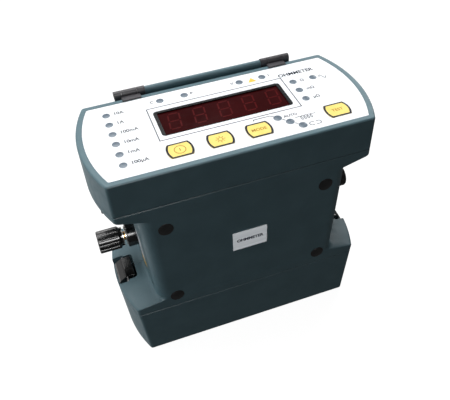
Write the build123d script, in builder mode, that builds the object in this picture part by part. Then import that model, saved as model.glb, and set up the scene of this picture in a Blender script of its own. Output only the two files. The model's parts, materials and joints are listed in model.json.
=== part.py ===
"""Hand-held four-terminal low-resistance ohmmeter with a folding lid and a lift-off battery module.

Frame: origin at the centre of the base face, +X to the right of a person facing the
front, +Y to the back, +Z up. All sizes are in millimetres.
"""
import os
from math import atan2, cos, pi, sin, tan

from build123d import *

os.makedirs("parts", exist_ok=True)

# ---------------------------------------------------------------- driving dimensions
case_height = 219.0             # base face to the flat rim of the head
head_seam_z = 187.0             # joint between head moulding and main case
battery_seam_z = 58.4           # joint between main case and battery module
seam_gap = 0.4                  # visible gap at a joint between two mouldings
seam_edge = 0.5                 # chamfer along the edges of such a gap
wall = 3.0                      # thickness of every moulded wall
running_gap = 0.35              # gap between parts that move past each other

rim_corner_x, rim_end_x, rim_half_depth = 106.7, 118.5, 50.8
corner_round = 3.0              # vertical corners of the head and the base
waist_round = 10.4              # vertical corners of the waist
waist_half_depth = 50.3
waist_low_x, waist_high_x = 84.0, 87.8
waist_bow = 3.2                 # how far the waist's sides bow outwards
waist_low_z, waist_high_z = 70.9, 172.9
flange_z = 67.2                 # top edge of the lower flange
flare_z = 180.4                 # lower outer edge of the head
base_corner_x, base_end_x, base_half_depth = 101.3, 112.9, 50.2
flange_corner_x, flange_end_x = 105.7, 116.4

# label and what shows through it
label_top = case_height - 0.2
label_thickness = 0.6
label_corner_x, label_end_x, label_half_depth = 103.6, 113.2, 45.6
deck_thickness = 3.0
window_x, window_y = (-53.9, 55.9), (-10.0, 23.0)
window_round = 3.0
digit_pitch, digit_count, digit_y = 21.1, 5, 6.9
digit_first_x = -40.1
key_width, key_depth, key_bow = 16.4, 16.3, 2.1
key_y = -29.8
key_x = {"key_power": -46.0, "key_backlight": -14.0, "key_mode": 17.6, "key_test": 84.4}
key_travel = 0.5
lamp_radius, mode_lamp_radius = 3.1, 3.4
range_lamps = [(-89.7, 32.6 - 12.76 * step) for step in range(6)]
test_lamps = [(-44.1, 36.1), (-23.1, 36.1), (25.7, 36.1), (46.4, 36.1)]
unit_lamps = [(68.0, 19.2), (86.3, 19.2), (68.0, 6.4), (68.0, -6.4)]
mode_lamps = [(36.3 + 7.4 * step, -22.0 - 7.65 * step) for step in range(3)]
board_top = 207.0               # display board, below the deck

# lid and hinge
hinge_y, hinge_z = 54.9, 220.9
barrel_radius, pin_radius = 3.1, 1.2
bar_radius, bar_half_length = 2.4, 52.1
barrel_span = (52.3, 78.7)
knuckle_span = (59.0, 72.0)
lid_low, lid_high = 219.4, 223.3

# main case fastenings
screw_places = [(-69.3, 160.2), (69.3, 160.2), (-68.5, 72.3), (68.5, 72.3)]
cap_radius = 6.2
head_screw_places = [(x, y) for x in (-102, 102) for y in (-18, 18)]

# terminals: height and radius of the collar, knob and stem
post_y = 10.4
posts = {
    "current": dict(z=100.9, collar=11.2, knob=10.4, stem=4.0, tip=97.4, length=23.4),
    "potential": dict(z=146.5, collar=8.8, knob=8.0, stem=3.2, tip=97.0, length=14.5),
}
knob_open = {"current_left": 1.8, "current_right": 1.2, "potential_left": 1.2, "potential_right": 1.2}
socket_radius, socket_depth = 2.0, 20.0

# latches
pocket_x, pocket_half_width, pocket_floor = 96.8, 14.4, 60.4
lever_half_width = 11.6
mouth_x, mouth_half_width = 105.0, 16.2
pivot_x, pivot_z = 106.0, 64.8
latch_pin_radius, pin_half_length = 1.5, 17.6
hook_x, hook_tip_z = (99.6, 102.2), 50.4

# battery module
battery_top = battery_seam_z - running_gap
cell_radius, cell_length, cell_pitch, cell_count = 16.5, 61.0, 34.4, 5
cell_z = 20.5
battery_screw_places = [(x, y) for x in (-94, 94) for y in (-36, 36)]
charge_x, charge_z = 62, 30


# ---------------------------------------------------------------- helpers
def save(piece, name):
    """Label a finished piece and write its STEP file."""
    piece.part.label = name
    export_step(piece.part, f"parts/{name}.step")


def bowed_outline(sketch, corner_x, end_x, half_depth, corner_radius):
    """A rectangle whose two ends bow outwards, with rounded corners."""
    with BuildLine() as outline:
        Line((-corner_x, -half_depth), (corner_x, -half_depth))
        ThreePointArc((corner_x, -half_depth), (end_x, 0), (corner_x, half_depth))
        Line((corner_x, half_depth), (-corner_x, half_depth))
        ThreePointArc((-corner_x, half_depth), (-end_x, 0), (-corner_x, -half_depth))
    make_face(outline.edges())
    fillet(sketch.vertices(), corner_radius)


def ruled_body(stations, inset=0.0):
    """Straight-sided body through bowed outlines, each (z, corner, end, half depth, round)."""
    with BuildPart() as body:
        for z, corner_x, end_x, half_depth, corner_radius in stations:
            with BuildSketch(Plane.XY.offset(z)) as section:
                bowed_outline(section, corner_x - inset, end_x - inset,
                              half_depth - inset, max(corner_radius - inset, 1.0))
        loft(ruled=True)
    return body


def prism(outline, low, high, corner_radius=None):
    """Upright body on one bowed outline (corner, end, half depth) from low to high."""
    corner_x, end_x, half_depth = outline
    with BuildPart() as body:
        with BuildSketch(Plane.XY.offset(low)) as section:
            bowed_outline(section, corner_x, end_x, half_depth, corner_radius or corner_round)
        extrude(amount=high - low)
    return body


def box_between(x_span, y_span, z_span, mode=Mode.ADD):
    """Box with the given spans along X, Y and Z, made in the block that is open."""
    with Locations((sum(x_span) / 2, sum(y_span) / 2, sum(z_span) / 2)):
        Box(x_span[1] - x_span[0], y_span[1] - y_span[0], z_span[1] - z_span[0], mode=mode)


def rod_x(x_span, y, z, radius, mode=Mode.ADD):
    """Round bar along X, made in the block that is open."""
    with Locations(Location((sum(x_span) / 2, y, z), (0, 90, 0))):
        Cylinder(radius, abs(x_span[1] - x_span[0]), mode=mode)


def rod_y(x, y_span, z, radius, mode=Mode.ADD):
    """Round bar along Y, made in the block that is open."""
    with Locations(Location((x, sum(y_span) / 2, z), (90, 0, 0))):
        Cylinder(radius, y_span[1] - y_span[0], mode=mode)


def rod_z(x, y, z_span, radius, mode=Mode.ADD):
    """Round bar along Z, made in the block that is open."""
    with Locations((x, y, sum(z_span) / 2)):
        Cylinder(radius, z_span[1] - z_span[0], mode=mode)


def key_outline(sketch, x, y, grow=0.0):
    """Key with straight front and back and ends that bow outwards."""
    half_w, half_d = key_width / 2 + grow, key_depth / 2 + grow
    with BuildLine() as outline:
        Line((x - half_w, y - half_d), (x + half_w, y - half_d))
        ThreePointArc((x + half_w, y - half_d), (x + half_w + key_bow, y), (x + half_w, y + half_d))
        Line((x + half_w, y + half_d), (x - half_w, y + half_d))
        ThreePointArc((x - half_w, y + half_d), (x - half_w - key_bow, y), (x - half_w, y - half_d))
    make_face(outline.edges())
    fillet(sketch.vertices(), 1.0)


def cut_keys(low, high, grow):
    """Key openings through the block that is open."""
    for x in key_x.values():
        with BuildSketch(Plane.XY.offset(low)) as opening:
            key_outline(opening, x, key_y, grow)
        extrude(opening.sketch, amount=high - low, mode=Mode.SUBTRACT)


def cut_window(low, high, grow):
    """Display opening through the block that is open."""
    centre = (sum(window_x) / 2, sum(window_y) / 2)
    with BuildSketch(Plane.XY.offset(low)) as opening:
        with Locations(centre):
            RectangleRounded(window_x[1] - window_x[0] + 2 * grow,
                             window_y[1] - window_y[0] + 2 * grow, window_round + grow)
    extrude(opening.sketch, amount=high - low, mode=Mode.SUBTRACT)


lamps = [(place, lamp_radius) for place in range_lamps + test_lamps + unit_lamps]
lamps += [(place, mode_lamp_radius) for place in mode_lamps]


def cut_lamps(low, high, grow):
    """Round lamp openings through the block that is open."""
    for radius in (lamp_radius, mode_lamp_radius):
        places = [(x, y, (low + high) / 2) for (x, y), lamp in lamps if lamp == radius]
        with Locations(*places):
            Cylinder(radius + grow, high - low, mode=Mode.SUBTRACT)


# ---------------------------------------------------------------- head
deck_top = label_top - label_thickness
rim_outline = (rim_corner_x, rim_end_x, rim_half_depth)
label_outline = (label_corner_x, label_end_x, label_half_depth)
inner_outline = (rim_corner_x - wall, rim_end_x - wall, rim_half_depth - wall)

head_body = prism(rim_outline, head_seam_z + seam_gap / 2, case_height)
head_hollow = prism(inner_outline, head_seam_z, deck_top - deck_thickness, 1.5)
label_recess = prism(tuple(size + 0.1 for size in label_outline), deck_top, case_height + 1, 2.0)

with BuildPart() as head_moulding:
    add(head_body.part)
    rim_edges = head_moulding.faces().sort_by(Axis.Z)[-1].edges()
    fillet(rim_edges, 1.8)
    chamfer(head_moulding.faces().sort_by(Axis.Z)[0].edges(), seam_edge)
    add(head_hollow.part, mode=Mode.SUBTRACT)
    add(label_recess.part, mode=Mode.SUBTRACT)
    for x, y in head_screw_places:
        rod_z(x, y, (head_seam_z + seam_gap / 2, deck_top - 1), 5.0)
        rod_z(x, y, (head_seam_z, 202), 1.5, Mode.SUBTRACT)
    cut_window(board_top, case_height, 0.1)
    cut_keys(board_top, case_height, running_gap)
    cut_lamps(board_top, case_height, 0.05)
save(head_moulding, "head_moulding")

label_blank = prism(label_outline, deck_top, label_top, 2.0)
with BuildPart() as front_label:
    add(label_blank.part)
    cut_window(deck_top, label_top, 0.1)
    cut_keys(deck_top, label_top, running_gap)
    cut_lamps(deck_top, label_top, 0.05)
save(front_label, "front_label")

# display: black frame, red filter and the digit blocks behind it
filter_x, filter_y = (window_x[0] + 2.8, window_x[1] - 2.8), (window_y[0] + 0.8, window_y[1] - 2.4)
filter_top, frame_low = label_top - 1.2, label_top - 4.0
filter_size = (filter_x[1] - filter_x[0], filter_y[1] - filter_y[0])
filter_centre = (sum(filter_x) / 2, sum(filter_y) / 2)
with BuildPart() as display_frame:
    with BuildSketch(Plane.XY.offset(frame_low)):
        with Locations((sum(window_x) / 2, sum(window_y) / 2)):
            RectangleRounded(window_x[1] - window_x[0], window_y[1] - window_y[0], window_round)
        with Locations(filter_centre):
            Rectangle(*filter_size, mode=Mode.SUBTRACT)
    extrude(amount=label_top - 0.1 - frame_low)
save(display_frame, "display_frame")

with BuildPart() as display_filter:
    with BuildSketch(Plane.XY.offset(frame_low + 0.6)):
        with Locations(filter_centre):
            Rectangle(filter_size[0] - 0.1, filter_size[1] - 0.1)
    extrude(amount=filter_top - frame_low - 0.6)
save(display_filter, "display_filter")

with BuildPart() as display_digits:
    for index in range(digit_count):
        x = digit_first_x + digit_pitch * index
        box_between((x - 10, x + 10), (digit_y - 14, digit_y + 14), (board_top + 0.1, frame_low - 0.1))
save(display_digits, "display_digits")

with BuildPart() as display_board:
    box_between((-95, 93), (-42, 42), (board_top - 1.6, board_top))
save(display_board, "display_board")

with BuildPart() as indicator_lamps:
    for (x, y), radius in lamps:
        rod_z(x, y, (board_top + 0.1, label_top + 0.1), radius)
save(indicator_lamps, "indicator_lamps")

# keys and the dome switches under them
dome_top = board_top + 2.0
for name, x in key_x.items():
    with BuildPart() as key:
        with BuildSketch(Plane.XY.offset(deck_top - deck_thickness + 0.4)) as cap_outline:
            key_outline(cap_outline, x, key_y)
        extrude(amount=case_height - (deck_top - deck_thickness + 0.4))
        with BuildSketch(Plane.XY.offset(deck_top - deck_thickness - 1.2)) as flange_outline:
            key_outline(flange_outline, x, key_y, 1.4)
        extrude(amount=0.8)
        rod_z(x, key_y, (dome_top + key_travel + 0.1, deck_top - deck_thickness + 0.5), 2.2)
    save(key, name)

with BuildPart() as key_switches:
    for x in key_x.values():
        box_between((x - 3, x + 3), (key_y - 3, key_y + 3), (board_top + 0.05, board_top + 1.2))
        rod_z(x, key_y, (board_top + 1.1, dome_top), 1.7)
save(key_switches, "key_switches")

# ---------------------------------------------------------------- main case
flange_outline = (flange_corner_x, flange_end_x, rim_half_depth - 0.1, corner_round)
head_outline = (rim_corner_x, rim_end_x, rim_half_depth, corner_round)
waist_low_outline = (waist_low_x, waist_low_x + waist_bow, waist_half_depth, waist_round)
waist_high_outline = (waist_high_x, waist_high_x + waist_bow, waist_half_depth, waist_round)
edge_radius, cove_radius, arc_steps = 2.2, 4.0, 3


def step_stations(outer, inner, edge_z, waist_z):
    """Stations round a shoulder: over its outer edge, along its slope and into the waist."""
    reach = outer[0] - inner[0]
    up = 1 if waist_z > edge_z else -1
    slope = atan2(abs(waist_z - edge_z), reach)
    turn = pi / 2 - slope
    back = tan(turn / 2)
    stations = []
    for step in range(arc_steps + 1):
        angle = turn * step / arc_steps
        inset = edge_radius * (1 - cos(angle))
        stations.append((edge_z + up * edge_radius * (sin(angle) - back), inset / reach))
    for step in range(arc_steps, -1, -1):
        angle = turn * step / arc_steps
        inset = reach - cove_radius * (1 - cos(angle))
        stations.append((waist_z + up * cove_radius * (back - sin(angle)), inset / reach))
    blend = [(z, *[a + share * (b - a) for a, b in zip(outer, inner)]) for z, share in stations]
    return blend[::up]


seam_outline = (flange_corner_x - 0.6, flange_end_x - 0.5, rim_half_depth - 0.2, corner_round)


def drawn_in(outline, inset):
    """The same outline with its sides moved in by inset."""
    corner_x, end_x, half_depth, corner_radius = outline
    return corner_x - inset, end_x - inset, half_depth - inset, corner_radius - inset


case_stations = [
    (battery_seam_z, *drawn_in(seam_outline, seam_edge)),
    (battery_seam_z + seam_edge, *seam_outline),
    *step_stations(flange_outline, waist_low_outline, flange_z, waist_low_z),
    *step_stations(head_outline, waist_high_outline, flare_z, waist_high_z),
    (head_seam_z - seam_gap / 2 - seam_edge, *head_outline),
    (head_seam_z - seam_gap / 2, *drawn_in(head_outline, seam_edge)),
]
hollow_stations = [
    (battery_seam_z + wall, *seam_outline),
    (flange_z - wall, *flange_outline),
    (waist_low_z - wall, *waist_low_outline),
    (waist_high_z + wall, *waist_high_outline),
    (flare_z + wall, *head_outline),
    (head_seam_z + 1, *head_outline),
]
case_outer = ruled_body(case_stations)
case_hollow = ruled_body(hollow_stations, wall)

boss_radius, front_wall_y = 7.6, -waist_half_depth
cap_seat_y, head_seat_y = front_wall_y + 4.6, front_wall_y + 8.5
with BuildPart() as case_fill:
    for x, z in screw_places:
        rod_y(x, (-50, 50), z, boss_radius)
    for x, y in head_screw_places:
        rod_z(x, y, (174, head_seam_z - seam_gap / 2), 5.5)
    for side in (-1, 1):
        x_span = sorted((side * (pocket_x - 3.2), side * 121))
        box_between(x_span, (-19.4, 19.4), (battery_seam_z, 72))
    box_between((-27.4, 27.4), (-12, 12), (battery_seam_z, battery_seam_z + 6))
    add(case_outer.part, mode=Mode.INTERSECT)

plug_half_length, plug_half_width = 21.0, 7.0
with BuildPart() as case_body:
    add(case_outer.part)
    add(case_hollow.part, mode=Mode.SUBTRACT)
    add(case_fill.part)
    for x, z in screw_places:
        rod_y(x, (-52, cap_seat_y), z, cap_radius + 0.05, Mode.SUBTRACT)
        rod_y(x, (-52, head_seat_y), z, 4.3, Mode.SUBTRACT)
        rod_y(x, (-48, 12), z, 2.2, Mode.SUBTRACT)
        rod_y(x, (0, 12.2), z, 3.5, Mode.SUBTRACT)
    for x, y in head_screw_places:
        rod_z(x, y, (170, 181.5), 3.9, Mode.SUBTRACT)
        rod_z(x, y, (180, head_seam_z), 2.2, Mode.SUBTRACT)
    for side in (-1, 1):
        with BuildSketch(Plane.XY.offset(pocket_floor)):
            with Locations((side * (pocket_x + 20), 0)):
                RectangleRounded(40, 2 * pocket_half_width, 3.2)
            with Locations((side * (mouth_x + 20), 0)):
                RectangleRounded(40, 2 * mouth_half_width, 1.5)
        extrude(amount=14, mode=Mode.SUBTRACT)
        hook_slot = sorted((side * 96.9, side * 103.0))
        box_between(hook_slot, (-8.8, 8.8), (battery_seam_z - 1, 70), Mode.SUBTRACT)
        rod_y(side * pivot_x, (-pin_half_length, pin_half_length), pivot_z, latch_pin_radius, Mode.SUBTRACT)
    box_between((-plug_half_length - 0.5, plug_half_length + 0.5),
                (-plug_half_width - 0.5, plug_half_width + 0.5),
                (battery_seam_z - 1, battery_seam_z + 7), Mode.SUBTRACT)

panel_half_width, panel_low, panel_high = 31.8, 73.6, 168.6
panel_groove = 0.4


def panel_block(side, grow):
    """Block that holds one side's terminal panel, larger by grow on its edges."""
    with BuildPart() as block:
        box_between(sorted((side * 79, side * 96)),
                    (-panel_half_width - grow, panel_half_width + grow),
                    (panel_low - grow, panel_high + grow))
    return block


seam_half_gap = 0.15
for name, keep, cut_y in (("front_shell", Keep.TOP, -seam_half_gap), ("rear_shell", Keep.BOTTOM, seam_half_gap)):
    with BuildPart() as shell:
        add(case_body.part)
        for side in (-1, 1):
            add(panel_block(side, panel_groove).part, mode=Mode.SUBTRACT)
        split(bisect_by=Plane.XZ.offset(-cut_y), keep=keep)
    save(shell, name)


def wall_x(z):
    """Distance of the waist's side wall from the middle at height z, beside the terminals."""
    share = (z - waist_low_z) / (waist_high_z - waist_low_z)
    return waist_low_x + share * (waist_high_x - waist_low_x) + waist_bow * (1 - (post_y / waist_half_depth) ** 2)


for side, hand in ((-1, "left"), (1, "right")):
    with BuildPart() as terminal_panel:
        add(panel_block(side, 0).part)
        add(case_body.part, mode=Mode.INTERSECT)
        for post in posts.values():
            seat = wall_x(post["z"]) - 0.8
            rod_x((side * 70, side * 95), post_y, post["z"], post["stem"] + 2.0, Mode.SUBTRACT)
            rod_x((side * seat, side * 95), post_y, post["z"], post["collar"] + 0.1, Mode.SUBTRACT)
    save(terminal_panel, f"terminal_panel_{hand}")

gasket_low, gasket_high = head_seam_z - seam_gap / 2, head_seam_z + seam_gap / 2
gasket_blank = prism(tuple(size - 0.8 for size in rim_outline), gasket_low, gasket_high, 2.2)
gasket_middle = prism(tuple(size - 2.2 for size in rim_outline), gasket_low, gasket_high, 1.4)
with BuildPart() as head_gasket:
    add(gasket_blank.part)
    add(gasket_middle.part, mode=Mode.SUBTRACT)
save(head_gasket, "head_gasket")

cap_dome_radius, cap_rise = 24.0, 1.1
with BuildPart() as cap:
    rod_y(0, (front_wall_y - cap_rise, cap_seat_y), 0, cap_radius)
    with Locations((0, front_wall_y - cap_rise + cap_dome_radius, 0)):
        Sphere(cap_dome_radius, mode=Mode.INTERSECT)
with BuildPart() as screw_caps:
    for x, z in screw_places:
        add(cap.part.moved(Location((x, 0, z))))
save(screw_caps, "screw_caps")

with BuildPart() as case_screws:
    for x, z in screw_places:
        rod_y(x, (head_seat_y - 3.2, head_seat_y), z, 4.0)
        rod_y(x, (head_seat_y - 0.1, 10.5), z, 2.0)
        with Locations(Location((x, head_seat_y - 3.2, z), (90, 0, 0))):
            Box(5.4, 0.9, 2.4, mode=Mode.SUBTRACT)
            Box(0.9, 5.4, 2.4, mode=Mode.SUBTRACT)
save(case_screws, "case_screws")

with BuildPart() as threaded_inserts:
    for x, z in screw_places:
        rod_y(x, (0.6, 12.2), z, 3.5)
        rod_y(x, (0.6, 12.2), z, 2.0, Mode.SUBTRACT)
save(threaded_inserts, "threaded_inserts")

with BuildPart() as head_screws:
    for x, y in head_screw_places:
        rod_z(x, y, (178.7, 181.5), 3.6)
        rod_z(x, y, (181.4, 199), 1.5)
        box_between((x - 2.4, x + 2.4), (y - 0.45, y + 0.45), (178.0, 180.0), Mode.SUBTRACT)
        box_between((x - 0.45, x + 0.45), (y - 2.4, y + 2.4), (178.0, 180.0), Mode.SUBTRACT)
save(head_screws, "head_screws")

with BuildPart() as name_plate:
    with BuildSketch(Plane.XZ.offset(-front_wall_y)):
        with Locations((1.2, 121.3)):
            RectangleRounded(31.2, 21.8, 0.8)
    extrude(amount=0.5)
save(name_plate, "name_plate")

# ---------------------------------------------------------------- lid and its hinge
lid_edge_y = hinge_y - 7.4       # the lid's rear edge beside the round hinge edge
lid_inset = 2.8
with BuildPart() as lid_panel:
    with BuildSketch(Plane.XY.offset(lid_low)) as lid_outline:
        bowed_outline(lid_outline, rim_corner_x - lid_inset, rim_end_x - lid_inset,
                      rim_half_depth - lid_inset, 2.5)
        with Locations((0, lid_edge_y + 10)):
            Rectangle(2 * rim_end_x, 20, mode=Mode.SUBTRACT)
    extrude(amount=lid_high - lid_low)
    lid_top = lid_panel.faces().sort_by(Axis.Z)[-1]
    fillet(lid_top.edges(), 1.2)
    for side in (-1, 1):
        box_between(sorted((side * (barrel_span[0] - 0.5), side * (barrel_span[1] + 0.6))),
                    (hinge_y - 9.6, hinge_y), (lid_low - 1, lid_high + 1), Mode.SUBTRACT)
    box_between((-bar_half_length, bar_half_length), (lid_edge_y - 2, hinge_y), (lid_low, lid_high))
    rod_x((-bar_half_length, bar_half_length), hinge_y, hinge_z, bar_radius)
lid_panel.part = lid_panel.part.rotate(Axis((0, hinge_y, hinge_z), (1, 0, 0)), 90)
save(lid_panel, "lid_panel")

leaf_thickness = 1.2
with BuildPart() as lid_hinge_leaves:
    for side in (-1, 1):
        for span in ((barrel_span[0], knuckle_span[0] - running_gap),
                     (knuckle_span[1] + running_gap, barrel_span[1])):
            rod_x((side * span[0], side * span[1]), hinge_y, hinge_z, barrel_radius)
            box_between(sorted((side * span[0], side * span[1])), (hinge_y - 6, hinge_y),
                        (hinge_z + barrel_radius - leaf_thickness, hinge_z + barrel_radius))
        box_between(sorted((side * barrel_span[0], side * barrel_span[1])),
                    (hinge_y - 17, hinge_y - 3.6),
                    (lid_high, lid_high + leaf_thickness))
        box_between(sorted((side * barrel_span[0], side * barrel_span[1])),
                    (hinge_y - 6, hinge_y - 3.6),
                    (hinge_z + barrel_radius - leaf_thickness, lid_high + 0.1))
        rod_x((side * 50, side * 80), hinge_y, hinge_z, pin_radius + 0.05, Mode.SUBTRACT)
lid_hinge_leaves.part = lid_hinge_leaves.part.rotate(Axis((0, hinge_y, hinge_z), (1, 0, 0)), 90)
save(lid_hinge_leaves, "lid_hinge_leaves")

with BuildPart() as rim_hinge_leaves:
    for side in (-1, 1):
        leaf_x = sorted((side * (knuckle_span[0] - 2), side * (knuckle_span[1] + 1)))
        knuckle_x = sorted((side * knuckle_span[0], side * knuckle_span[1]))
        rod_x(knuckle_x, hinge_y, hinge_z, barrel_radius)
        box_between(leaf_x, (label_half_depth + 0.5, hinge_y - 3.6), (case_height, case_height + leaf_thickness))
        box_between(knuckle_x, (hinge_y - 3.7, hinge_y - 1), (case_height, case_height + leaf_thickness))
        rod_x(knuckle_x, hinge_y, hinge_z, pin_radius, Mode.SUBTRACT)
save(rim_hinge_leaves, "rim_hinge_leaves")

with BuildPart() as hinge_pins:
    for side in (-1, 1):
        rod_x(sorted((side * barrel_span[0], side * (barrel_span[1] - 0.3))), hinge_y, hinge_z, pin_radius)
save(hinge_pins, "hinge_pins")

# ---------------------------------------------------------------- terminals
flute_count, flute_radius, flute_depth = 14, 1.25, 0.85
ring_thickness = 0.9
grip_share = 0.76               # share of a knob's length that the flutes take


def knob_at(side, kind, opened):
    """Clamping knob with round-ended flutes, its inner end opened clear of the collar's ring."""
    post = posts[kind]
    start = post["tip"] + ring_thickness + opened
    radius, end = post["knob"], start + post["length"]
    flute_start = end - grip_share * post["length"]
    flute_ring = Plane(origin=(0, post_y, post["z"]), x_dir=(0, 1, 0), z_dir=(side, 0, 0))
    with BuildPart() as knob:
        rod_x((side * (start + 2.4), side * end), post_y, post["z"], radius)
        outer = knob.faces().sort_by(Axis.X)[-1 if side > 0 else 0]
        inner = knob.faces().sort_by(Axis.X)[0 if side > 0 else -1]
        fillet(outer.edges(), 1.2)
        chamfer(inner.edges(), 1.6)
        rod_x((side * (start + ring_thickness), side * (start + 2.5)), post_y, post["z"], radius - 1.8)
        with Locations(flute_ring.offset((flute_start + end + 2) / 2)):
            with PolarLocations(radius + flute_radius - flute_depth, flute_count):
                Cylinder(flute_radius, end + 2 - flute_start, mode=Mode.SUBTRACT)
        with Locations(flute_ring.offset(flute_start)):
            with PolarLocations(radius + flute_radius - flute_depth, flute_count):
                Sphere(flute_radius, mode=Mode.SUBTRACT)
        rod_x((side * start, side * (end + 1)), post_y, post["z"], post["stem"] + 0.06, Mode.SUBTRACT)
    return knob


def ring_at(side, kind, start, bore):
    """Flat washer on a stem, from start outwards."""
    post = posts[kind]
    with BuildPart() as ring:
        x_span = (side * start, side * (start + ring_thickness))
        rod_x(x_span, post_y, post["z"], post["knob"] - 1.5)
        rod_x(x_span, post_y, post["z"], bore, Mode.SUBTRACT)
    return ring


for side, hand in ((-1, "left"), (1, "right")):
    for kind, post in posts.items():
        place = f"{kind}_{hand}"
        seat = wall_x(post["z"]) - 0.8
        with BuildPart() as collar:
            rod_x((side * seat, side * post["tip"]), post_y, post["z"], post["collar"])
            outer = collar.faces().sort_by(Axis.X)[-1 if side > 0 else 0]
            fillet(outer.edges(), 1.0)
            rod_x((side * (seat - 6), side * (seat + 1)), post_y, post["z"], post["stem"] + 1.9)
            rod_x((side * (seat - 7), side * 100), post_y, post["z"], post["stem"], Mode.SUBTRACT)
        save(collar, f"{place}_collar")
        knob = knob_at(side, kind, knob_open[place])
        save(knob, f"{place}_knob")
        washer_start = post["tip"] + ring_thickness + knob_open[place]
        washer = ring_at(side, kind, washer_start, post["stem"] + 0.06)
        save(washer, f"{place}_washer")

with BuildPart() as post_stems:
    for side in (-1, 1):
        for post in posts.values():
            tip = post["tip"] + ring_thickness + post["length"] - 2.0
            rod_x((side * 66, side * tip), post_y, post["z"], post["stem"])
            rod_x((side * (tip - socket_depth), side * (tip + 1)), post_y, post["z"],
                  socket_radius, Mode.SUBTRACT)
save(post_stems, "post_stems")

with BuildPart() as seat_rings:
    for side in (-1, 1):
        for post in posts.values():
            x_span = (side * post["tip"], side * (post["tip"] + ring_thickness))
            rod_x(x_span, post_y, post["z"], post["knob"] - 1.5)
            rod_x(x_span, post_y, post["z"], post["stem"], Mode.SUBTRACT)
save(seat_rings, "seat_rings")

with BuildPart() as post_nuts:
    for side in (-1, 1):
        for post in posts.values():
            inner = wall_x(post["z"]) - 0.8 - 6
            nut_face = Plane(origin=(side * (inner - 3.5), post_y, post["z"]), z_dir=(side, 0, 0))
            with BuildSketch(nut_face):
                RegularPolygon(post["stem"] * 1.9, 6)
                Circle(post["stem"], mode=Mode.SUBTRACT)
            extrude(amount=3.4)
save(post_nuts, "post_nuts")

# ---------------------------------------------------------------- latches
lever_profile = [(98.6, 67.2), (98.6, 69.6), (99.2, 70.1), (107.0, 69.7), (108.6, 69.1), (112.9, 65.8),
                 (114.4, 63.0),
                 (110.0, 62.4), (hook_x[1], 63.6), (hook_x[1], hook_tip_z + 4.0), (104.0, hook_tip_z + 3.4),
                 (103.2, hook_tip_z), (hook_x[0], hook_tip_z), (hook_x[0], 65.5)]
for side, hand in ((-1, "left"), (1, "right")):
    with BuildPart() as latch:
        with BuildSketch(Plane.XZ.offset(-lever_half_width)):
            with BuildLine():
                Polyline(*[(side * x, z) for x, z in lever_profile], close=True)
            make_face()
        extrude(amount=2 * lever_half_width)
        for low, high in ((-20, -8.0), (8.0, 20)):
            box_between(sorted((side * 97, side * 106)), (low, high), (45, 62.4), Mode.SUBTRACT)
        rod_y(side * pivot_x, (-20, 20), pivot_z, latch_pin_radius + 0.05, Mode.SUBTRACT)
        rod_z(side * 111.4, 0, (60, 64.6), 2.5, Mode.SUBTRACT)
    save(latch, f"latch_{hand}")

with BuildPart() as latch_pins:
    for side in (-1, 1):
        rod_y(side * pivot_x, (-pin_half_length, pin_half_length), pivot_z, latch_pin_radius)
save(latch_pins, "latch_pins")

spring_low, spring_high, spring_turns, spring_radius = pocket_floor + 0.25, 64.4, 4, 1.8
with BuildPart() as latch_springs:
    for side in (-1, 1):
        height = spring_high - spring_low
        with BuildLine(Plane.XY.offset(spring_low)) as coil:
            Helix(height / spring_turns, height, spring_radius, center=(side * 111.4, 0, 0))
        with BuildSketch(Plane(origin=coil.line @ 0, z_dir=coil.line % 0)):
            Circle(0.22)
        sweep(path=coil.line, is_frenet=True)
save(latch_springs, "latch_springs")

# ---------------------------------------------------------------- electronics in the case
board_y = 10.0
with BuildPart() as main_board:
    box_between((-58, 58), (board_y, board_y + 1.6), (84, 166))
    for x in (-52, 52):
        for z in (90, 160):
            rod_y(x, (board_y - 1, board_y + 3), z, 1.7, Mode.SUBTRACT)
save(main_board, "main_board")

with BuildPart() as board_pillars:
    for x in (-52, 52):
        for z in (90, 160):
            rod_y(x, (board_y + 1.6, waist_half_depth - wall), z, 4.0)
            rod_y(x, (board_y + 1.5, board_y + 12), z, 1.4, Mode.SUBTRACT)
save(board_pillars, "board_pillars")

with BuildPart() as board_screws:
    for x in (-52, 52):
        for z in (90, 160):
            rod_y(x, (board_y - 2.2, board_y), z, 2.8)
            rod_y(x, (board_y - 0.1, board_y + 10), z, 1.4)
save(board_screws, "board_screws")

core_y, leg_x, winding_x, winding_z = (-12, 0), (-23, -13), (-30.8, -5.2), (104.2, 125.8)
with BuildPart() as transformer_core:
    box_between((-38, 2), core_y, (98, 132))
    box_between((-31, -5), core_y, (104, 126), Mode.SUBTRACT)
    box_between(leg_x, core_y, (103, 127))
save(transformer_core, "transformer_core")

with BuildPart() as transformer_winding:
    box_between(winding_x, (core_y[0] - 7, core_y[1] + 7), winding_z)
    box_between((leg_x[0] - 0.05, leg_x[1] + 0.05), (core_y[0] - 0.05, core_y[1] + 0.05),
                (winding_z[0] - 1, winding_z[1] + 1), Mode.SUBTRACT)
save(transformer_winding, "transformer_winding")

with BuildPart() as heat_sink:
    box_between((12, 50), (board_y - 4, board_y - 0.1), (96, 150))
    for fin in range(8):
        x = 12.75 + fin * 5.2
        box_between((x - 0.75, x + 0.75), (board_y - 26, board_y - 3.9), (96, 150))
save(heat_sink, "heat_sink")

with BuildPart() as current_shunt:
    box_between((-36, 36), (16, 17), (70, 80))
    for x in (-36, 36):
        box_between((x - 5, x + 5), (13, 20), (68, 82))
save(current_shunt, "current_shunt")

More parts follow.
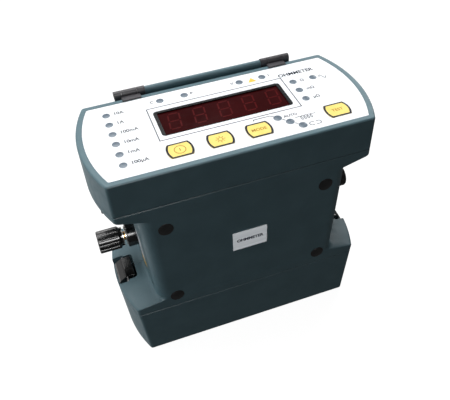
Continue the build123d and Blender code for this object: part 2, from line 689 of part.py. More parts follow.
# ---------------------------------------------------------------- battery module
battery_rim = (105.1, 115.9, 50.6, corner_round)
battery_stations = [(0, base_corner_x, base_end_x, base_half_depth, corner_round),
                    (battery_top - seam_edge, *battery_rim),
                    (battery_top, *drawn_in(battery_rim, seam_edge))]
cover_low = battery_top - wall
tub_outer = ruled_body(battery_stations)
tub_hollow = ruled_body([(wall, *battery_stations[0][1:]), (cover_low, *battery_rim)], 5.0)
cover_recess = ruled_body([(cover_low, *battery_rim), (battery_top + 1, *battery_rim)], wall)
with BuildPart() as battery_tub:
    add(tub_outer.part)
    base_edges = battery_tub.faces().sort_by(Axis.Z)[0].edges()
    fillet(base_edges, 1.5)
    add(tub_hollow.part, mode=Mode.SUBTRACT)
    add(cover_recess.part, mode=Mode.SUBTRACT)
    for x, y in battery_screw_places:
        rod_z(x, y, (0.5, 12), 6.0)
        rod_z(x, y, (-1, 4), 4.0, Mode.SUBTRACT)
        rod_z(x, y, (-1, 14), 2.0, Mode.SUBTRACT)
    for index in range(cell_count + 1):
        x = (index - cell_count / 2) * cell_pitch
        box_between((x - 0.7, x + 0.7), (-24, 24), (wall - 0.1, 12))
    rod_y(charge_x, (40, 60), charge_z, 5.5, Mode.SUBTRACT)
save(battery_tub, "battery_tub")

cover_blank = ruled_body([(cover_low, *battery_rim), (battery_top, *battery_rim)], wall + 0.1)
catch_x = 104.35
with BuildPart() as battery_cover:
    add(cover_blank.part)
    for x, y in battery_screw_places:
        rod_z(x, y, (12.1, cover_low + 0.5), 5.0)
        rod_z(x, y, (12, 30), 1.7, Mode.SUBTRACT)
    for side in (-1, 1):
        box_between(sorted((side * 96.4, side * catch_x)), (-9, 9), (cover_low - 1, battery_top + 1), Mode.SUBTRACT)
    box_between((-plug_half_length, plug_half_length), (-plug_half_width, plug_half_width),
                (cover_low - 1, battery_top + 1), Mode.SUBTRACT)
save(battery_cover, "battery_cover")

with BuildPart() as battery_screws:
    for x, y in battery_screw_places:
        rod_z(x, y, (1.2, 4), 3.7)
        rod_z(x, y, (3.9, 28), 1.7)
        box_between((x - 2.4, x + 2.4), (y - 0.45, y + 0.45), (0, 2.6), Mode.SUBTRACT)
        box_between((x - 0.45, x + 0.45), (y - 2.4, y + 2.4), (0, 2.6), Mode.SUBTRACT)
save(battery_screws, "battery_screws")

cell_places = [(index - (cell_count - 1) / 2) * cell_pitch for index in range(cell_count)]
with BuildPart() as battery_cells:
    for index, x in enumerate(cell_places):
        facing = 1 if index % 2 else -1
        rod_y(x, (-cell_length / 2 + 1, cell_length / 2 - 1), cell_z, cell_radius)
        tip = sorted((facing * (cell_length / 2 - 1.1), facing * cell_length / 2))
        rod_y(x, tip, cell_z, 5.0)
save(battery_cells, "battery_cells")

with BuildPart() as cell_links:
    for index in range(cell_count - 1):
        facing = 1 if index % 2 else -1
        middle = (cell_places[index] + cell_places[index + 1]) / 2
        end_y = cell_length / 2 + 0.05
        box_between((middle - cell_pitch / 2 - 5, middle + cell_pitch / 2 + 5),
                    sorted((facing * end_y, facing * (end_y + 0.4))), (cell_z - 4, cell_z + 4))
save(cell_links, "cell_links")

with BuildPart() as contact_plug:
    box_between((-plug_half_length + 0.1, plug_half_length - 0.1), (-plug_half_width + 0.1, plug_half_width - 0.1),
                (cover_low - 6, battery_top + 5.5))
    box_between((-26, 26), (-11, 11), (cover_low - 3, cover_low - 0.1))
    for index in range(6):
        x = (index - 2.5) * 6.4
        box_between((x - 1.6, x + 1.6), (-2.2, 2.2), (battery_top + 1.5, battery_top + 7), Mode.SUBTRACT)
save(contact_plug, "contact_plug")

with BuildPart() as contact_socket:
    box_between((-26, 26), (-11, 11), (battery_seam_z + 6.1, battery_seam_z + 14))
    for index in range(6):
        x = (index - 2.5) * 6.4
        box_between((x - 0.6, x + 0.6), (-1.6, 1.6), (battery_seam_z + 2.6, battery_seam_z + 6.2))
save(contact_socket, "contact_socket")

charge_face_y, charge_bore = 50.5, 2.8
with BuildPart() as charge_socket:
    rod_y(charge_x, (charge_face_y - 12, charge_face_y + 0.1), charge_z, 5.4)
    rod_y(charge_x, (charge_face_y, charge_face_y + 1.5), charge_z, 7.6)
    rod_y(charge_x, (charge_face_y - 9, charge_face_y + 2), charge_z, charge_bore, Mode.SUBTRACT)
save(charge_socket, "charge_socket")
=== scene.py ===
"""Looks of a hand-held four-terminal low-resistance ohmmeter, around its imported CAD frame.

Printed artwork is drawn in millimetres on the label, the name plate or a side panel, and
Surface noise scales are per metre. Everything else is in metres on the CAD axes: +X right,
+Y back, +Z up.
"""
import json
from math import cos, pi, radians, sin, sqrt

import bmesh
import bpy
from mathutils import Matrix, Vector


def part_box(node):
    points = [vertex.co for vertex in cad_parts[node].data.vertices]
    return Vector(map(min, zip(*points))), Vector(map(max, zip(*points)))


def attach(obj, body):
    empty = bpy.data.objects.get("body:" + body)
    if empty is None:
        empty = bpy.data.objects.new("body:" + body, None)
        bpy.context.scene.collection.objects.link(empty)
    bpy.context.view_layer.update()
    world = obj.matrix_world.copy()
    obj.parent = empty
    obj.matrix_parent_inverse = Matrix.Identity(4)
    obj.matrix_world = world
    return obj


MM = 0.001
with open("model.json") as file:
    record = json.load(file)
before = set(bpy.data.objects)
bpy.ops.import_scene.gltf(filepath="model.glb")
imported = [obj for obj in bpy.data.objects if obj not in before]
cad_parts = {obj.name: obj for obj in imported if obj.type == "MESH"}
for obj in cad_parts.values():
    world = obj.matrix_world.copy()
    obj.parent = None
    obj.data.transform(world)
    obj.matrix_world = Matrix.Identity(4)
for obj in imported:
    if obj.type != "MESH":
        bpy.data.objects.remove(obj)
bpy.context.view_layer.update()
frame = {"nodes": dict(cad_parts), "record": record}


# ---------------------------------------------------------------- materials
class Surface:
    """A procedural material: mottled colour, uneven gloss, fine grain and worn edges."""

    def __init__(self, name, roughness, metallic=0.0, specular=0.5, coat=0.0, bevel=0.4):
        self.material = bpy.data.materials.new(name)
        self.material.use_nodes = True
        self.tree = self.material.node_tree
        self.shader = self.tree.nodes["Principled BSDF"]
        self.shader.inputs["Metallic"].default_value = metallic
        self.shader.inputs["Specular IOR Level"].default_value = specular
        self.shader.inputs["Coat Weight"].default_value = coat
        self.place = self.node("ShaderNodeTexCoord").outputs["Object"]
        self.rounding = self.node("ShaderNodeBevel", samples=4)
        self.rounding.inputs["Radius"].default_value = bevel * MM
        gloss = self.spread(self.noise(160.0), *roughness)
        self.join(gloss, self.shader.inputs["Roughness"])

    def node(self, kind, **settings):
        """Adds a node and sets its own properties."""
        node = self.tree.nodes.new(kind)
        for key, value in settings.items():
            setattr(node, key, value)
        return node

    def join(self, source, target):
        self.tree.links.new(source, target)

    def noise(self, scale, detail=4.0, stretch=(1, 1, 1)):
        """Noise in the object's own space, drawn out along the axes whose stretch is small."""
        mapping = self.node("ShaderNodeMapping")
        mapping.inputs["Scale"].default_value = stretch
        texture = self.node("ShaderNodeTexNoise")
        texture.inputs["Scale"].default_value = scale
        texture.inputs["Detail"].default_value = detail
        self.join(self.place, mapping.inputs["Vector"])
        self.join(mapping.outputs["Vector"], texture.inputs["Vector"])
        return texture.outputs["Fac"]

    def spread(self, factor, low, high, start=0.35, end=0.65):
        """Maps a factor from start..end to low..high."""
        mapped = self.node("ShaderNodeMapRange")
        for key, value in (("From Min", start), ("From Max", end), ("To Min", low), ("To Max", high)):
            mapped.inputs[key].default_value = value
        self.join(factor, mapped.inputs["Value"])
        return mapped.outputs["Result"]

    def math(self, operation, first, second):
        """Result of one arithmetic step on two sockets or numbers."""
        node = self.node("ShaderNodeMath", operation=operation)
        for socket, value in zip(node.inputs, (first, second)):
            if isinstance(value, (int, float)):
                socket.default_value = value
            else:
                self.join(value, socket)
        return node.outputs["Value"]

    def blend(self, factor, first, second):
        """Colour between two colours, each a triple or a socket."""
        mix = self.node("ShaderNodeMix", data_type="RGBA")
        self.join(factor, mix.inputs[0])
        for socket, value in ((mix.inputs[6], first), (mix.inputs[7], second)):
            if isinstance(value, tuple):
                socket.default_value = (*value, 1.0)
            else:
                self.join(value, socket)
        return mix.outputs[2]

    def edges(self):
        """Factor that is high along the solid's outer edges."""
        flat = self.node("ShaderNodeNewGeometry").outputs["Normal"]
        dot = self.node("ShaderNodeVectorMath", operation="DOT_PRODUCT")
        self.join(flat, dot.inputs[0])
        self.join(self.rounding.outputs["Normal"], dot.inputs[1])
        return self.spread(dot.outputs["Value"], 1.0, 0.0, 0.80, 0.99)

    def colour(self, dark, light, scale, worn=None, wear=0.5, stretch=(1, 1, 1)):
        """Mottled colour, with a paler or darker tone rubbed into the edges."""
        tone = self.blend(self.spread(self.noise(scale, 5.0, stretch), 0.0, 1.0), dark, light)
        if worn:
            rubbed = self.math("MULTIPLY", self.edges(), self.spread(self.noise(420.0), 0.0, wear))
            tone = self.blend(rubbed, tone, worn)
        self.join(tone, self.shader.inputs["Base Color"])

    def grain(self, scale, depth, stretch=(1, 1, 1)):
        """Fine relief, depth in millimetres, over the softened edges."""
        bump = self.node("ShaderNodeBump")
        bump.inputs["Strength"].default_value = 1.0
        bump.inputs["Distance"].default_value = depth * MM
        self.join(self.noise(scale, 2.0, stretch), bump.inputs["Height"])
        self.join(self.rounding.outputs["Normal"], bump.inputs["Normal"])
        self.join(bump.outputs["Normal"], self.shader.inputs["Normal"])


def make_surface(name, dark, light, mottle, roughness, grain, worn=None, wear=0.5,
                 stretch=(1, 1, 1), **shader):
    """One finished material: two tones, their mottle scale, a gloss range and a grain."""
    surface = Surface(name, roughness, **shader)
    surface.colour(dark, light, mottle, worn, wear, stretch)
    surface.grain(*grain, stretch)
    return surface.material


BRUSHED = (0.03, 1, 1)
surfaces = {
    "slate_plastic": make_surface("slate_moulding", (0.081, 0.149, 0.176), (0.094, 0.169, 0.198), 45.0,
                                  (0.40, 0.50), (2300.0, 0.016), worn=(0.17, 0.23, 0.28), wear=0.45,
                                  specular=0.4, bevel=0.5),
    "label_film": make_surface("label_print_base", (0.86, 0.89, 0.925), (0.90, 0.92, 0.945), 28.0,
                               (0.34, 0.42), (3200.0, 0.004), specular=0.4, bevel=0.1),
    "filter_red": make_surface("red_filter", (0.025, 0.0014, 0.0018), (0.033, 0.0020, 0.0026), 40.0,
                               (0.08, 0.14), (900.0, 0.0010), specular=0.04, bevel=0.1),
    "frame_black": make_surface("display_surround", (0.0045, 0.0055, 0.0065), (0.0080, 0.0090, 0.0100),
                                60.0, (0.24, 0.34), (2600.0, 0.004), specular=0.2, bevel=0.2),
    "digit_block": make_surface("digit_resin", (0.10, 0.10, 0.105), (0.14, 0.14, 0.145), 90.0,
                                (0.45, 0.60), (2400.0, 0.010)),
    "key_yellow": make_surface("yellow_key", (0.885, 0.68, 0.155), (0.925, 0.73, 0.190), 120.0,
                               (0.36, 0.46), (2800.0, 0.008), specular=0.35, bevel=0.3),
    "lamp_grey": make_surface("lamp_body", (0.115, 0.160, 0.205), (0.140, 0.190, 0.240), 200.0,
                              (0.25, 0.35), (2400.0, 0.004)),
    "hinge_black": make_surface("hinge_moulding", (0.030, 0.028, 0.033), (0.044, 0.041, 0.047), 110.0,
                                (0.36, 0.48), (2500.0, 0.014), worn=(0.12, 0.12, 0.13), bevel=0.3),
    "cap_rubber": make_surface("cap_rubber", (0.0130, 0.0125, 0.0128), (0.0210, 0.0200, 0.0205), 160.0,
                              (0.34, 0.48), (1900.0, 0.020), specular=0.45, bevel=0.4),
    "knob_black": make_surface("polished_black", (0.0048, 0.0048, 0.0052), (0.0085, 0.0085, 0.0090), 90.0,
                               (0.13, 0.24), (1500.0, 0.004), worn=(0.05, 0.05, 0.052), wear=0.35,
                               coat=0.3, bevel=0.35),
    "brass": make_surface("turned_brass", (0.62, 0.33, 0.11), (0.80, 0.48, 0.19), 300.0,
                          (0.20, 0.34), (1400.0, 0.010), metallic=1.0, stretch=(1, 0.1, 0.1)),
    "nickel": make_surface("nickel_plate", (0.56, 0.54, 0.50), (0.72, 0.70, 0.66), 260.0,
                           (0.18, 0.30), (1300.0, 0.006), metallic=1.0),
    "steel": make_surface("zinc_steel", (0.42, 0.42, 0.43), (0.56, 0.56, 0.57), 220.0,
                          (0.26, 0.42), (1300.0, 0.010), metallic=1.0),
    "gasket": make_surface("gasket_rubber", (0.012, 0.013, 0.014), (0.020, 0.021, 0.022), 150.0,
                           (0.65, 0.80), (1800.0, 0.015)),
    "plate_silver": make_surface("brushed_plate", (0.60, 0.63, 0.66), (0.70, 0.73, 0.76), 500.0,
                                 (0.34, 0.46), (2200.0, 0.006), stretch=BRUSHED, metallic=0.25, bevel=0.2),
    "board_green": make_surface("circuit_board", (0.010, 0.085, 0.030), (0.018, 0.130, 0.048), 130.0,
                                (0.28, 0.42), (900.0, 0.012)),
    "ferrite": make_surface("transformer_iron", (0.045, 0.043, 0.042), (0.075, 0.072, 0.070), 240.0,
                            (0.48, 0.66), (1700.0, 0.030), stretch=(1, 1, 0.08), metallic=0.4),
    "copper": make_surface("enamelled_copper", (0.42, 0.13, 0.045), (0.60, 0.22, 0.085), 340.0,
                           (0.26, 0.40), (1500.0, 0.030), stretch=(0.05, 0.05, 1), metallic=0.8),
    "sink_aluminium": make_surface("anodised_sink", (0.030, 0.031, 0.033), (0.055, 0.056, 0.058), 180.0,
                                   (0.34, 0.46), (1600.0, 0.010), metallic=0.5),
    "cell_sleeve": make_surface("cell_sleeve", (0.045, 0.150, 0.070), (0.065, 0.200, 0.095), 60.0,
                                (0.20, 0.32), (700.0, 0.006)),
}
for part in frame["record"]["subparts"]:
    for slot in frame["nodes"][part["node"]].material_slots:
        slot.material = surfaces[part["material_slot"]]

ink = {
    "dark": make_surface("legend_ink", (0.012, 0.016, 0.030), (0.022, 0.028, 0.046), 500.0,
                         (0.40, 0.55), (2600.0, 0.003), specular=0.15, bevel=0.05),
    "outline": make_surface("outline_ink", (0.008, 0.010, 0.022), (0.014, 0.018, 0.034), 400.0,
                            (0.38, 0.50), (2600.0, 0.003), specular=0.15, bevel=0.05),
    "line": make_surface("line_ink", (0.022, 0.026, 0.044), (0.034, 0.040, 0.062), 400.0,
                         (0.40, 0.55), (2600.0, 0.003), specular=0.15, bevel=0.05),
    "symbol": make_surface("symbol_ink", (0.46, 0.24, 0.030), (0.56, 0.31, 0.045), 500.0,
                           (0.40, 0.55), (2600.0, 0.003), specular=0.15, bevel=0.05),
    "yellow": make_surface("mark_ink", (0.82, 0.50, 0.06), (0.90, 0.58, 0.09), 300.0,
                           (0.36, 0.48), (2600.0, 0.003), specular=0.15, bevel=0.05),
    "white": make_surface("panel_ink", (0.52, 0.56, 0.60), (0.64, 0.68, 0.72), 300.0,
                          (0.40, 0.55), (2600.0, 0.003), specular=0.15, bevel=0.05),
    # painted shade: dark line standing in for the shadow in the groove round each terminal panel
    "groove_shade": make_surface("painted_groove_shade", (0.010, 0.014, 0.017), (0.018, 0.023, 0.027), 300.0,
                         (0.55, 0.70), (2200.0, 0.010), specular=0.2, bevel=0.05),
    "segment": make_surface("digit_segment", (0.060, 0.0040, 0.0050), (0.078, 0.0055, 0.0065), 200.0,
                            (0.16, 0.24), (900.0, 0.002), specular=0.04, bevel=0.05),
}


def make_painted_reflection_lens():
    """Grey lamp lens with a painted reflection: each lens is painted lighter at its front and darker at its
    back.
    """
    surface = Surface("lamp_lens_painted_reflection", (0.20, 0.30), specular=0.5, bevel=0.2)
    across = surface.node("ShaderNodeSeparateXYZ")
    surface.join(surface.node("ShaderNodeTexCoord").outputs["UV"], across.inputs[0])
    # painted reflection: the tone runs from light at the front of each lens to dark at its back
    tone = surface.spread(across.outputs["Y"], 0.0, 1.0, 0.9, 0.1)
    surface.join(surface.blend(tone, (0.085, 0.115, 0.150), (0.150, 0.200, 0.245)),
                 surface.shader.inputs["Base Color"])
    surface.grain(2400.0, 0.003)
    return surface.material


painted_reflection_lens_surface = make_painted_reflection_lens()


# ---------------------------------------------------------------- drawing helpers
def ribbon(drawing, points, width, closed=False):
    """Adds a flat strip of the given width along points, with mitred corners."""
    points = [Vector(point) for point in points]
    count = len(points)
    sides = []
    for index, point in enumerate(points):
        runs = []
        if closed or index:
            runs.append((point - points[index - 1]).normalized())
        if closed or index < count - 1:
            runs.append((points[(index + 1) % count] - point).normalized())
        along = (runs[0] + runs[-1]).normalized()
        reach = width / 2 / max(along.dot(runs[0]), 0.3)
        aside = Vector((-along.y, along.x)) * reach
        sides.append([drawing.verts.new((*corner, 0)) for corner in (point + aside, point - aside)])
    for index in range(count if closed else count - 1):
        (a, b), (c, d) = sides[index], sides[(index + 1) % count]
        drawing.faces.new((a, b, d, c))


def patch(drawing, points):
    """Adds one flat filled outline."""
    drawing.faces.new([drawing.verts.new((*point, 0)) for point in points])


def sheet(drawing, left, right, low, high, columns=12):
    """Adds a filled rectangle in upright columns, so that it can follow a curved wall."""
    edges = [left + (right - left) * step / columns for step in range(columns + 1)]
    rows = [[drawing.verts.new((x, y, 0)) for x in edges] for y in (low, high)]
    for step in range(columns):
        drawing.faces.new((rows[0][step], rows[0][step + 1], rows[1][step + 1], rows[1][step]))


def lettering(drawing, text, x, y, size, align="LEFT", weight=0.0):
    """Adds flat letters, centred on y, thickened by weight on each side of a stroke."""
    curve = bpy.data.curves.new("lettering", "FONT")
    curve.body, curve.size, curve.offset = text, size, weight
    curve.align_x, curve.align_y = align, "CENTER"
    holder = bpy.data.objects.new("lettering", curve)
    mesh = bpy.data.meshes.new_from_object(holder)
    mesh.transform(Matrix.Translation((x, y, 0)))
    drawing.from_mesh(mesh)
    bpy.data.objects.remove(holder)
    bpy.data.meshes.remove(mesh)


def arc(x, y, radius, start, end, steps=24):
    """Points along an arc, angles in degrees from +X."""
    turn = [radians(start + (end - start) * step / steps) for step in range(steps + 1)]
    return [(x + radius * cos(angle), y + radius * sin(angle)) for angle in turn]


def circle(x, y, radius, steps=48):
    return arc(x, y, radius, 0, 360, steps)[:-1]


def on_top(z):
    """Drawing plane that faces up at height z."""
    return Matrix.Translation((0, 0, z)) @ Matrix.Scale(MM, 4)


def on_front(y):
    """Drawing plane on the front, whose second axis is the height."""
    turn = Matrix(((1, 0, 0, 0), (0, 0, -1, 0), (0, 1, 0, 0), (0, 0, 0, 1)))
    return Matrix.Translation((0, y, 0)) @ turn @ Matrix.Scale(MM, 4)


def on_back(y):
    """Drawing plane on the back, read from behind."""
    turn = Matrix(((-1, 0, 0, 0), (0, 0, 1, 0), (0, 1, 0, 0), (0, 0, 0, 1)))
    return Matrix.Translation((0, y, 0)) @ turn @ Matrix.Scale(MM, 4)


def on_wall(side, lift):
    """Places a drawing on a bowed side wall of the waist, read from that side."""
    foot_x, foot_z, height, spread = 84.0, 70.9, 102.0, 3.8
    bow, half_depth = 3.2, 50.3

    def place(point):
        y, z = side * point.x, point.y
        wall = foot_x + spread * (z - foot_z) / height + bow * (1 - (y / half_depth) ** 2)
        return Vector((side * (wall + lift), y, z)) * MM
    return place


def add_piece(name, mesh_maker, plane, material, body):
    """Makes a piece from a drawing and lets it ride on a body.

    plane is a matrix, or a function that places each point of the drawing.
    """
    drawing = bmesh.new()
    mesh_maker(drawing)
    for face in drawing.faces:
        face.normal_update()
        if face.normal.z < 0:
            face.normal_flip()
    mesh = bpy.data.meshes.new(name)
    drawing.to_mesh(mesh)
    drawing.free()
    if callable(plane):
        for vertex in mesh.vertices:
            vertex.co = plane(vertex.co)
    else:
        mesh.transform(plane)
    piece = bpy.data.objects.new(name, mesh)
    bpy.context.scene.collection.objects.link(piece)
    mesh.materials.append(material)
    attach(piece, body)
    return piece


# ---------------------------------------------------------------- label
print_lift = 0.03 * MM
label_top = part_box("front_label")[1][2] + print_lift
range_lamps = [(-89.7, 32.6 - 12.76 * step) for step in range(6)]
range_names = ("10A", "1A", "100mA", "10mA", "1mA", "100µA")
test_lamps = [(-44.1, 36.1), (-23.1, 36.1), (25.7, 36.1), (46.4, 36.1)]
unit_lamps = [(68.0, 19.2), (68.0, 6.4), (68.0, -6.4), (86.3, 19.2)]
unit_names = ("Ω", "mΩ", "µΩ")
mode_lamps = [(36.3 + 7.4 * step, -22.0 - 7.65 * step) for step in range(3)]
key_places = {"key_power": -46.0, "key_backlight": -14.0, "key_mode": 17.6, "key_test": 84.4}
key_y, key_half, key_bow = -29.8, 8.2, 2.1


def draw_legends(drawing):
    for (x, y), text in zip(range_lamps, range_names):
        lettering(drawing, text, x + 5.9, y + 0.4, 5.0, weight=0.11)
    for (x, y), text, gap in zip(test_lamps, "CPVI", (-6.9, 6.4, -6.6, 6.2)):
        lettering(drawing, text, x + gap, y + 0.3, 4.4, "CENTER", 0.10)
    for (x, y), text in zip(unit_lamps, unit_names):
        lettering(drawing, text, x + 6.2, y - 0.4, 4.6, weight=0.11)
    lettering(drawing, "AUTO", mode_lamps[0][0] + 5.1, mode_lamps[0][1] - 0.4, 4.0, weight=0.10)
    lettering(drawing, "OHMMETER", 75.5, 31.2, 6.0, "CENTER", 0.16)


def draw_lines(drawing):
    left, right, low, high = -57.5, 60.3, -14.5, 28.3
    ribbon(drawing, [(left, low), (right, low), (right, high), (left, high)], 0.8, closed=True)
    first, second, third = mode_lamps
    ribbon(drawing, [(17.4, -18.8), (17.9, -17.2), (31.5, -17.2), (34.2, -19.2)], 0.75)
    ribbon(drawing, [(first[0] + 2.6, first[1] - 3.0), (second[0] - 2.6, second[1] + 2.9)], 0.75)
    ribbon(drawing, [(second[0] + 2.6, second[1] - 3.0), (third[0] - 2.6, third[1] + 2.9)], 0.75)


def draw_mode_symbols(drawing):
    wave = [(91.4 + 5.8 * step / 24, 17.4 + 2.7 * sin(2 * pi * step / 24)) for step in range(25)]
    ribbon(drawing, wave, 0.6)
    start_x, end_x, coil_y, turns = 52.6, 63.2, -28.2, 4
    coil = [(start_x - 3.4, coil_y + 1.6), (start_x - 0.6, coil_y + 1.6)]
    steps = turns * 16
    for step in range(steps + 1):
        angle = 2 * pi * turns * step / steps
        x = start_x + (end_x - start_x) * step / steps + 1.3 * sin(angle)
        coil.append((x, coil_y - 0.4 + 2.4 * cos(angle)))
    coil += [(end_x + 0.8, coil_y + 1.6), (end_x + 3.4, coil_y + 1.6)]
    ribbon(drawing, coil, 0.55)
    centre_x, centre_y, half, bend, stroke = 61.2, -38.2, 2.9, 1.9, 0.6
    left_turn = arc(centre_x - half, centre_y, bend, 90, 270, 12)
    right_turn = arc(centre_x + half, centre_y, bend, -90, 90, 12)
    top, bottom = centre_y + bend, centre_y - bend
    ribbon(drawing, [(centre_x - half + 2.4, top), *left_turn, (centre_x - half + 1.6, bottom)], stroke)
    ribbon(drawing, [(centre_x - half + 3.0, bottom), *right_turn, (centre_x + half - 1.8, top)], stroke)


add_piece("label_legends", draw_legends, on_top(label_top), ink["dark"], "instrument")
add_piece("label_lines", draw_lines, on_top(label_top), ink["line"], "instrument")
add_piece("label_symbols", draw_mode_symbols, on_top(label_top), ink["dark"], "instrument")
add_piece("label_triangle", lambda drawing: patch(drawing, [(32.6, 32.4), (40.2, 32.4), (36.9, 38.6)]),
          on_top(label_top), ink["yellow"], "instrument")


# ---------------------------------------------------------------- lamp lenses
def draw_lenses(drawing):
    """Shallow domes, with texture coordinates that run across each one."""
    layer = drawing.loops.layers.uv.new("across")
    lamps = [(place, 3.1) for place in range_lamps + test_lamps + unit_lamps]
    lamps += [(place, 3.4) for place in mode_lamps]
    rise, rings, spokes = 0.28, 4, 36
    for (x, y), radius in lamps:
        previous = None
        for ring in range(rings):
            size = radius * (1 - ring / rings)
            height = rise * (1 - (size / radius) ** 2)
            current = [drawing.verts.new((px, py, height)) for px, py in circle(x, y, size, spokes)]
            faces = []
            if previous:
                for step in range(spokes):
                    after = (step + 1) % spokes
                    faces.append(drawing.faces.new((previous[step], previous[after],
                                                    current[after], current[step])))
            if ring == rings - 1:
                faces.append(drawing.faces.new(current))
            for face in faces:
                face.smooth = True
                for loop in face.loops:
                    loop[layer].uv = ((loop.vert.co.x - x) / radius / 2 + 0.5,
                                      (loop.vert.co.y - y) / radius / 2 + 0.5)
            previous = current


lens_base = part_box("indicator_lamps")[1][2] + print_lift / 2
add_piece("lamp_lenses", draw_lenses, on_top(lens_base), painted_reflection_lens_surface, "instrument")


# ---------------------------------------------------------------- keys
def bowed_end(x, side, half, bow):
    """Points of one bowed end of a key, from its low corner to its high corner."""
    radius = (half * half + bow * bow) / (2 * bow)
    centre = x + side * (half + bow - radius)
    steps = 16
    heights = [half * (2 * step / steps - 1) for step in range(steps + 1)]
    return [(centre + side * sqrt(radius * radius - height * height), key_y + height) for height in heights]


def draw_border(x):
    """Printed line round the edge of a key."""
    half = key_half - 0.65

    def draw(drawing):
        right = bowed_end(x, 1, half, key_bow)
        left = bowed_end(x, -1, half, key_bow)
        ribbon(drawing, right + left[::-1], 1.45, closed=True)
    return draw


def draw_power(drawing):
    x = key_places["key_power"]
    ribbon(drawing, circle(x, key_y, 4.4), 0.75, closed=True)
    ribbon(drawing, [(x, key_y - 1.7), (x, key_y + 1.7)], 0.75)


def draw_sun(drawing):
    x = key_places["key_backlight"]
    ribbon(drawing, circle(x, key_y, 1.9, 32), 0.65, closed=True)
    for ray in range(8):
        angle = 2 * pi * ray / 8
        ends = [(x + reach * cos(angle), key_y + reach * sin(angle)) for reach in (2.6, 3.9)]
        ribbon(drawing, ends, 0.65)


def draw_word(key, word):
    """Drawing of a word in the middle of a key."""
    return lambda drawing: lettering(drawing, word, key_places[key], key_y, 4.4, "CENTER", 0.11)


symbols = {
    "key_power": draw_power,
    "key_backlight": draw_sun,
    "key_mode": draw_word("key_mode", "MODE"),
    "key_test": draw_word("key_test", "TEST"),
}
for key, x in key_places.items():
    plane = on_top(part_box(key)[1][2] + print_lift)
    body = key.replace("key_", "") + "_key"
    add_piece(f"{key}_border", draw_border(x), plane, ink["outline"], body)
    add_piece(f"{key}_symbol", symbols[key], plane, ink["symbol"], body)


# ---------------------------------------------------------------- display digits
def draw_segments(drawing):
    """Seven bars for each digit, leaning to the right."""
    first_x, pitch, middle_y = -39.7, 21.1, 7.2
    half_w, half_h, lean = 4.6, 9.7, 0.125
    stroke, gap = 1.3, 0.9
    corners = {"tl": (-half_w, half_h), "tr": (half_w, half_h), "ml": (-half_w, 0), "mr": (half_w, 0),
               "bl": (-half_w, -half_h), "br": (half_w, -half_h)}
    for digit in range(5):
        x = first_x + pitch * digit
        for start, end in (("tl", "tr"), ("ml", "mr"), ("bl", "br"), ("tl", "ml"), ("tr", "mr"),
                           ("ml", "bl"), ("mr", "br")):
            a, b = Vector(corners[start]), Vector(corners[end])
            trim = (b - a).normalized() * gap
            bar = [(x + u + lean * v, middle_y + v) for u, v in (a + trim, b - trim)]
            ribbon(drawing, bar, stroke)


filter_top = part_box("display_filter")[1][2] + print_lift
add_piece("display_segments", draw_segments, on_top(filter_top), ink["segment"], "instrument")


# ---------------------------------------------------------------- plate and side marks
plate_low, plate_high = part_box("name_plate")
plate_x = (plate_low[0] + plate_high[0]) / 2 / MM
plate_z = (plate_low[2] + plate_high[2]) / 2 / MM


def draw_plate(drawing):
    lettering(drawing, "OHMMETER", plate_x, plate_z, 4.5, "CENTER", 0.22)


plate_words = add_piece("plate_lettering", draw_plate, on_front(plate_low[1] - print_lift),
                        ink["outline"], "instrument")

strip_front, strip_back = -22.0, -6.5       # places along the side, the same on both hands


def add_side_marks(side, hand, number):
    """Painted groove shade line, name strip, names and colour band on one terminal panel."""
    strip = sorted((side * strip_front, side * strip_back))
    middle = side * -14.2

    # painted shade: a dark line where the groove round the panel is in shadow
    def draw_groove_shade(drawing):
        half, low, high, steps = 32.0, 73.4, 168.8, 24
        across = [half - 2 * half * step / steps for step in range(steps + 1)]
        loop = [(y, high) for y in across] + [(y, low) for y in across[::-1]]
        ribbon(drawing, loop, 0.75, closed=True)

    def draw_strip(drawing):
        sheet(drawing, *strip, 94.0, 128.0)

    def draw_names(drawing):
        lettering(drawing, "P" + number, middle, 120.0, 6.4, "CENTER", 0.08)
        lettering(drawing, "C" + number, middle, 103.0, 6.4, "CENTER", 0.08)
        sheet(drawing, *sorted((side * -20.5, side * -8.0)), 111.2, 111.8)

    def draw_mark(drawing):
        sheet(drawing, *strip, 86.5, 93.2)

    marks = (("groove_shade", draw_groove_shade, 0.06, ink["groove_shade"]),
             ("strip", draw_strip, 0.12, ink["white"]),
             ("names", draw_names, 0.20, ink["outline"]),
             ("mark", draw_mark, 0.12, ink["yellow"]))
    for name, draw, lift, material in marks:
        add_piece(f"terminal_{name}_{hand}", draw, on_wall(side, lift), material,
                  "instrument")


add_side_marks(-1, "left", "1")
add_side_marks(1, "right", "2")

charge_low, charge_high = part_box("charge_socket")
charge_x = (charge_low[0] + charge_high[0]) / 2 / MM
base_back_y = 0.0506


def draw_charge(drawing):
    lettering(drawing, "CHARGE", -charge_x, 42.0, 4.6, "CENTER")


add_piece("charge_lettering", draw_charge, on_back(base_back_y), ink["white"],
          "battery_module")


# ---------------------------------------------------------------- floor, light and camera
def make_floor():
    """Plain white floor, which gives the object no coloured bounce."""
    mesh = bpy.data.meshes.new("floor")
    half = 6.0
    corners = [(-half, -half, 0), (half, -half, 0), (half, half, 0), (-half, half, 0)]
    mesh.from_pydata(corners, [], [(0, 1, 2, 3)])
    floor = bpy.data.objects.new("floor", mesh)
    bpy.context.scene.collection.objects.link(floor)
    surface = Surface("floor_paint", (0.75, 0.85), specular=0.0, bevel=0.1)
    surface.colour((0.14, 0.14, 0.14), (0.15, 0.15, 0.15), 3.0)
    surface.shader.inputs["Emission Color"].default_value = (1, 1, 1, 1)
    surface.shader.inputs["Emission Strength"].default_value = 0.96
    mesh.materials.append(surface.material)
    floor.location.z = -0.0002
    floor.visible_diffuse = False
    floor.visible_glossy = False


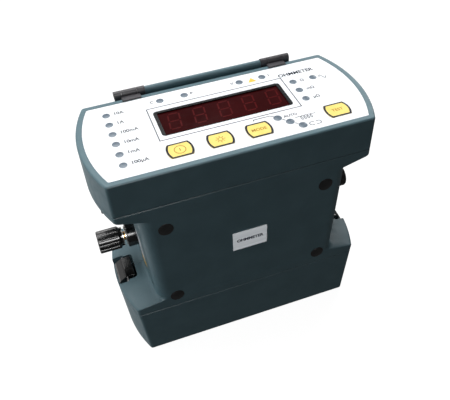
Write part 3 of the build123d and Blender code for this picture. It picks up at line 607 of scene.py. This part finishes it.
def make_backdrop():
    """Plain white dome behind the object, seen by the camera alone."""
    drawing = bmesh.new()
    bmesh.ops.create_uvsphere(drawing, u_segments=48, v_segments=24, radius=8.0)
    mesh = bpy.data.meshes.new("backdrop")
    drawing.to_mesh(mesh)
    drawing.free()
    backdrop = bpy.data.objects.new("backdrop", mesh)
    bpy.context.scene.collection.objects.link(backdrop)
    surface = Surface("backdrop_paint", (0.75, 0.85), specular=0.0, bevel=0.1)
    surface.colour((0.02, 0.02, 0.02), (0.03, 0.03, 0.03), 3.0)
    surface.shader.inputs["Emission Color"].default_value = (1, 1, 1, 1)
    surface.shader.inputs["Emission Strength"].default_value = 1.0
    mesh.materials.append(surface.material)
    for use in ("diffuse", "glossy", "transmission", "shadow"):
        setattr(backdrop, f"visible_{use}", False)


def add_light(name, place, target, size, power, colour=(1, 1, 1)):
    """Square softbox at place, facing target."""
    data = bpy.data.lights.new(name, "AREA")
    data.shape = "RECTANGLE"
    data.size, data.size_y = size
    data.energy = power
    data.color = colour
    lamp = bpy.data.objects.new(name, data)
    bpy.context.scene.collection.objects.link(lamp)
    lamp.location = place
    lamp.rotation_euler = (Vector(target) - Vector(place)).to_track_quat("-Z", "Y").to_euler()
    return lamp


def make_world():
    """Studio surround: bright behind and to the left, dim in front."""
    world = bpy.data.worlds.new("studio")
    bpy.context.scene.world = world
    world.use_nodes = True
    tree = world.node_tree
    back = tree.nodes["Background"]
    direction = tree.nodes.new("ShaderNodeTexCoord").outputs["Generated"]
    dot = tree.nodes.new("ShaderNodeVectorMath")
    dot.operation = "DOT_PRODUCT"
    dot.inputs[1].default_value = Vector((-0.60, 0.75, 0.20)).normalized()
    ramp = tree.nodes.new("ShaderNodeMapRange")
    for key, value in (("From Min", -0.1), ("From Max", 0.8), ("To Min", 0.09), ("To Max", 0.75)):
        ramp.inputs[key].default_value = value
    tree.links.new(direction, dot.inputs[0])
    tree.links.new(dot.outputs["Value"], ramp.inputs["Value"])
    tree.links.new(ramp.outputs["Result"], back.inputs["Strength"])
    back.inputs["Color"].default_value = (1, 1, 1, 1)


def make_camera():
    """Camera in front, above and a little to the left of the object."""
    azimuth, elevation, roll = radians(17.35), radians(45.18), radians(-3.04)
    level = Vector((cos(azimuth), -sin(azimuth), 0))
    ahead = Vector((sin(azimuth) * cos(elevation), cos(azimuth) * cos(elevation), -sin(elevation)))
    rise = level.cross(ahead)
    right = cos(roll) * level + sin(roll) * rise
    up = cos(roll) * rise - sin(roll) * level
    data = bpy.data.cameras.new("camera")
    data.lens, data.sensor_width = 46.3, 36.0
    camera = bpy.data.objects.new("camera", data)
    camera.matrix_world = Matrix((
        (right.x, up.x, -ahead.x, -0.1151),
        (right.y, up.y, -ahead.y, -0.3566),
        (right.z, up.z, -ahead.z, 0.4976),
        (0, 0, 0, 1)))
    bpy.context.scene.collection.objects.link(camera)
    bpy.context.scene.camera = camera


def make_lights():
    """Softboxes round the object, a glint light for its edges and a fill for the name plate."""
    middle = (0, 0, 0.12)
    add_light("overhead", (-0.10, 0.35, 1.00), middle, (0.9, 0.7), 8.8)
    add_light("left", (-0.90, 0.10, 0.45), middle, (0.5, 0.6), 1.1)
    add_light("front_left", (-0.50, -0.42, 0.26), (-0.08, -0.05, 0.18), (0.3, 0.3), 0.25, (0.86, 0.96, 1.0))
    add_light("rear_right", (0.80, 0.70, 0.60), middle, (0.5, 0.5), 3.6)
    edge_light = add_light("edge_highlights", (-0.16, -0.46, 0.56), middle, (0.22, 0.22), 2.4)
    edge_light.visible_diffuse = False
    plate_light = add_light("plate_fill", (-0.15, -0.60, 0.30), (0, -0.05, 0.12), (0.25, 0.25), 2.3)
    lit = bpy.data.collections.new("plate_fill_receivers")
    for lit_object in (frame["nodes"]["name_plate"], plate_words):
        lit.objects.link(lit_object)
    plate_light.light_linking.receiver_collection = lit


make_floor()
make_backdrop()
make_world()
make_camera()
make_lights()
view = bpy.context.scene.view_settings
view.view_transform = "Standard"
view.look = "None"
